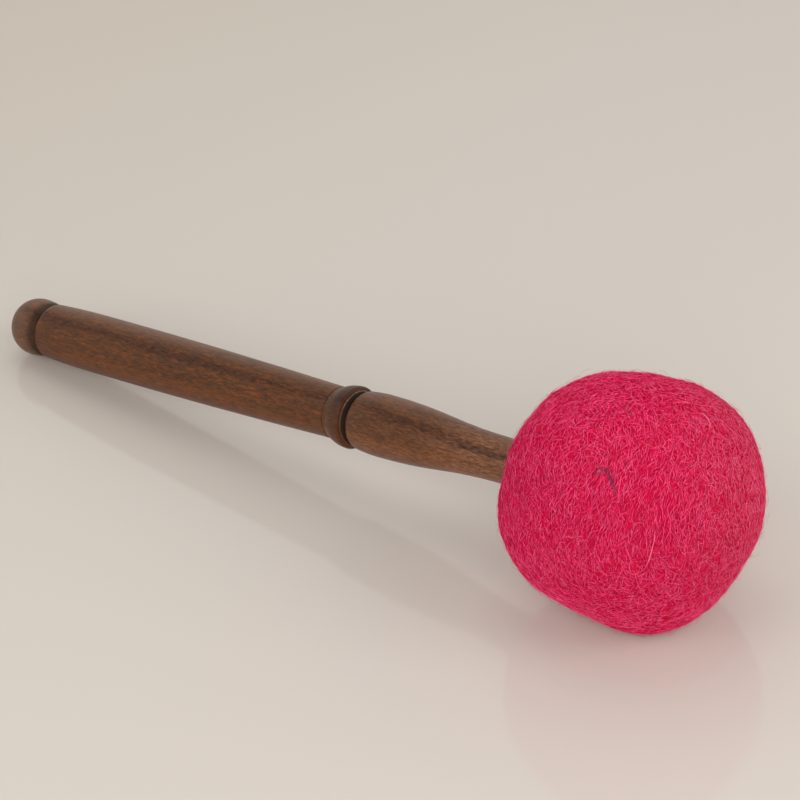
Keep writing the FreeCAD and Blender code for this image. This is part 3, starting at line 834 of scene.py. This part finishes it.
def make_felt_fibres():
    """Layers of short bent strands, each light one with a dark one beside it as its painted shadow;
    deeper pairs are painted darker as shade.
    """
    felt = bpy.context.scene.mallet_felt
    material = fibre_finish()
    points, count = len(FIBRE_TAPER), felt.fibres // 2
    for layer in range(FIBRE_LAYERS):
        rng = np.random.default_rng(FIBRE_SEED + layer)
        lengths = felt.fibre_length * rng.lognormal(0, FIBRE_LENGTHS, count)
        depth = rng.uniform(0, 1, (count, 1))
        pile = (FIBRE_PILE * depth - FIBRE_SINK) * MM
        lifts = pile + rng.normal(0, FIBRE_WANDER * MM, (count, points))
        lifts[:, [0, -1]] -= END_DIP
        lines = lying_paths(rng, points, lengths, FIBRE_BEND, lifts, FIBRE_LOOSENESS)
        # Painted shade: the deeper a pair lies, the darker its middle tone.
        middle = PAIR_TONE + PAIR_DEPTH_SHADE * depth[:, 0] + rng.normal(0, PAIR_SCATTER, count)
        contrast = np.abs(rng.normal(CONTRAST, CONTRAST_SCATTER, count))
        # Each fibre gets a copy beside it, darker by twice the contrast, that paints its shadow.
        lines = np.concatenate([lines, beside(lines, felt.fibre_radius * SHADOW_STRAND_GAP)])
        pairs = np.concatenate([middle + contrast, middle - contrast])[:, None]
        scatter = rng.normal(0, TONE_SCATTER, (2 * count, points))
        tones = np.clip(pairs + scatter, 0, MOST_DYED_TONE)
        tones[rng.uniform(0, 1, len(tones)) < GREY_SHARE] = GREY_TONE
        lines, tones = clear_of_neighbours(lines, tones, FIBRE_MARGIN)
        strands(f"felt_fibres_{layer + 1}", lines, felt.fibre_radius, FIBRE_TAPER, tones, material)


def make_loose_hairs():
    """Fine hairs with their first end in the felt, some of which stand higher."""
    felt = bpy.context.scene.mallet_felt
    rng = np.random.default_rng(HAIR_SEED)
    points, count = len(HAIR_TAPER), felt.hairs
    lengths = HAIR_LENGTH * rng.lognormal(0, HAIR_LENGTHS, count)
    top = HAIR_TOP + rng.gamma(HAIR_TOP_SHAPE, HAIR_TOP_SCALE, count)[:, None]
    for one_in, low, high in HAIR_RISERS:
        top[::one_in] += rng.uniform(low, high, top[::one_in].shape)
    lines = lying_paths(rng, points, lengths, HAIR_BEND, top * np.array(HAIR_RISE), HAIR_LOOSENESS)
    tones = np.tile(rng.uniform(0, 1, (count, 1)) ** 2, points)
    lines, tones = clear_of_neighbours(lines, tones, HAIR_MARGIN)
    strands("loose_hairs", lines, felt.hair_radius, HAIR_TAPER, tones, hair_finish())


def lying_line(ends, lift):
    """The points of a stray that lies on the felt, with its ends caught in it."""
    directions = directions_at(*np.transpose(ends))
    height = np.full(len(ends), lift)
    height[[0, -1]] = CAUGHT_LIFT
    return CENTRE + directions * (reach(directions, HEAD_RADIUS) + height)[:, None]


def make_strays():
    """One small tuft of dark hairs and a few long pale ones, caught on the felt."""
    rng = np.random.default_rng(STRAY_SEED)
    tuft = lying_line(DARK_HAIR, TUFT_LIFT) + rng.normal(0, TUFT_SPREAD, (TUFT_HAIRS, 1, 3))
    tuft = tuft + rng.normal(0, TUFT_SPREAD, tuft.shape)
    strands("dark_hairs", tuft, TUFT_RADIUS, TUFT_TAPER, np.zeros(tuft.shape[:2]), stray_finish())
    pale = np.stack([lying_line(ends, PALE_LIFT) for ends in PALE_HAIRS])
    strands("pale_hairs", pale, PALE_RADIUS, PALE_TAPER, np.ones(pale.shape[:2]), hair_finish())


def dress(node, material):
    """Gives a CAD node its one material; its mesh stays as it is."""
    materials = frame["nodes"][node].data.materials
    materials.clear()
    materials.append(material)


class MALLET_OT_handle(bpy.types.Operator):
    """Gives the turned handle its streaked wood"""

    bl_idname = "mallet.handle"
    bl_label = "Turned handle"

    def execute(self, context):
        dress("handle", handle_finish())
        return {"FINISHED"}


class MALLET_OT_core(bpy.types.Operator):
    """Gives the head's wooden core its bare wood"""

    bl_idname = "mallet.core"
    bl_label = "Wooden core"

    def execute(self, context):
        dress("head_core", core_finish())
        return {"FINISHED"}


class MALLET_OT_wool(bpy.types.Operator):
    """Winds the raw wool round the core"""

    bl_idname = "mallet.wool"
    bl_label = "Wound wool"

    def execute(self, context):
        make_wound_wool()
        return {"FINISHED"}


class MALLET_OT_felt(bpy.types.Operator):
    """Closes the dyed felt round the wool and the neck"""

    bl_idname = "mallet.felt"
    bl_label = "Felt cover"

    def execute(self, context):
        make_felt_cover()
        return {"FINISHED"}


class MALLET_OT_fibres(bpy.types.Operator):
    """Lays matted fibres over the felt"""

    bl_idname = "mallet.fibres"
    bl_label = "Matted fibres"

    def execute(self, context):
        make_felt_fibres()
        return {"FINISHED"}


class MALLET_OT_hairs(bpy.types.Operator):
    """Lets fine hairs stand off the felt"""

    bl_idname = "mallet.hairs"
    bl_label = "Loose hairs"

    def execute(self, context):
        make_loose_hairs()
        return {"FINISHED"}


class MALLET_OT_strays(bpy.types.Operator):
    """Catches a dark tuft and a few long pale hairs on the felt"""

    bl_idname = "mallet.strays"
    bl_label = "Strays"

    def execute(self, context):
        make_strays()
        return {"FINISHED"}


class MALLET_OT_stage(bpy.types.Operator):
    """Sets up the table top, the studio light and the camera"""

    bl_idname = "mallet.stage"
    bl_label = "Table, light and camera"

    def execute(self, context):
        make_floor()
        make_surround()
        make_lamps()
        make_camera()
        context.scene.view_settings.view_transform = "Standard"
        return {"FINISHED"}


def make_floor():
    bpy.ops.object.select_all(action="DESELECT")
    bpy.ops.mesh.primitive_plane_add(size=FLOOR_SIZE, location=(0, 0, -FLOOR_GAP))
    floor = bpy.context.object
    floor.name = "table_top"
    floor.data.materials.append(floor_finish())


def make_surround():
    """The studio: its even light, and what the camera and glossy things see of it."""
    look = bpy.context.scene.mallet_stage
    world = bpy.data.worlds.new("studio")
    bpy.context.scene.world = world
    room = Finish(world)
    seen = room.node("LightPath", out="Is Camera Ray")
    for ray in ("Is Glossy Ray", "Is Transmission Ray"):
        seen = seen.at_least(room.node("LightPath", out=ray))
    direction = room.node("TexCoord", out="Generated")
    back, up = room.part(direction, "Y"), room.part(direction, "Z")
    above = up.between(0.55, 0.85)
    seen_colour = room.mix(back.between(-0.8, 0.6), look.bright_side, look.surround)
    seen_colour = room.mix(above, seen_colour, tuple(look.overhead * c for c in look.surround))
    light = room.mix(above, (look.side_light,) * 3, (look.top_light,) * 3)
    sockets = {"Color": room.mix(seen, light, seen_colour), "Strength": 1.0}
    room.node("OutputWorld", None, {"Surface": room.node("Background", None, sockets)})


def make_lamps():
    """A wide softbox over the far side of the table, and three round its front."""
    for name, place, size, power, shines in LAMPS:
        facing = (HEAD_CENTRE - Vector(place)).to_track_quat("-Z", "Y").to_euler()
        bpy.ops.object.light_add(type="AREA", location=place, rotation=facing)
        lamp = bpy.context.object
        lamp.name = name
        lamp.data.shape, lamp.data.size, lamp.data.energy = "SQUARE", size, power
        lamp.visible_glossy = shines


def make_camera():
    look = bpy.context.scene.mallet_stage
    azimuth, elevation = look.camera_azimuth, look.camera_elevation
    flat = math.cos(elevation)
    view = Vector((-math.sin(azimuth) * flat, math.cos(azimuth) * flat, -math.sin(elevation)))
    level = Vector((math.cos(azimuth), math.sin(azimuth), 0))
    upright = level.cross(view)
    lean = look.camera_roll
    right = level * math.cos(lean) + upright * math.sin(lean)
    top = upright * math.cos(lean) - level * math.sin(lean)
    turn = Matrix((right, top, -view)).transposed()
    place = Vector(look.camera_aim) - view * look.camera_distance
    bpy.ops.object.camera_add(location=place, rotation=turn.to_euler())
    camera = bpy.context.object
    camera.data.lens, camera.data.sensor_width = look.lens, SENSOR_WIDTH
    camera.data.clip_start = CLIP_START
    bpy.context.scene.camera = camera


class MALLET_PT_panel(bpy.types.Panel):
    """Sizes, colours and pieces of the mallet"""

    bl_label = "Singing bowl mallet"
    bl_idname = "MALLET_PT_panel"
    bl_space_type = "VIEW_3D"
    bl_region_type = "UI"
    bl_category = "Mallet"

    def draw(self, context):
        for name in GROUPS:
            box = self.layout.box()
            group = getattr(context.scene, name)
            for field in type(group).__annotations__:
                box.prop(group, field)
        for operator in PIECES:
            self.layout.operator(operator.bl_idname)


GROUPS = {"mallet_felt": FeltSizes, "mallet_wood": WoodColours, "mallet_stage": StageLook}
PIECES = (
    MALLET_OT_stage, MALLET_OT_handle, MALLET_OT_core, MALLET_OT_wool,
    MALLET_OT_felt, MALLET_OT_fibres, MALLET_OT_hairs, MALLET_OT_strays,
)


def register():
    for kind in (*GROUPS.values(), *PIECES, MALLET_PT_panel):
        bpy.utils.register_class(kind)
    for name, kind in GROUPS.items():
        setattr(bpy.types.Scene, name, PointerProperty(type=kind))


def unregister():
    for name in GROUPS:
        delattr(bpy.types.Scene, name)
    for kind in reversed((*GROUPS.values(), *PIECES, MALLET_PT_panel)):
        bpy.utils.unregister_class(kind)


def main():
    register()
    for operator in PIECES:
        group, name = operator.bl_idname.split(".")
        getattr(getattr(bpy.ops, group), name)()


if __name__ == "__main__":
    main()
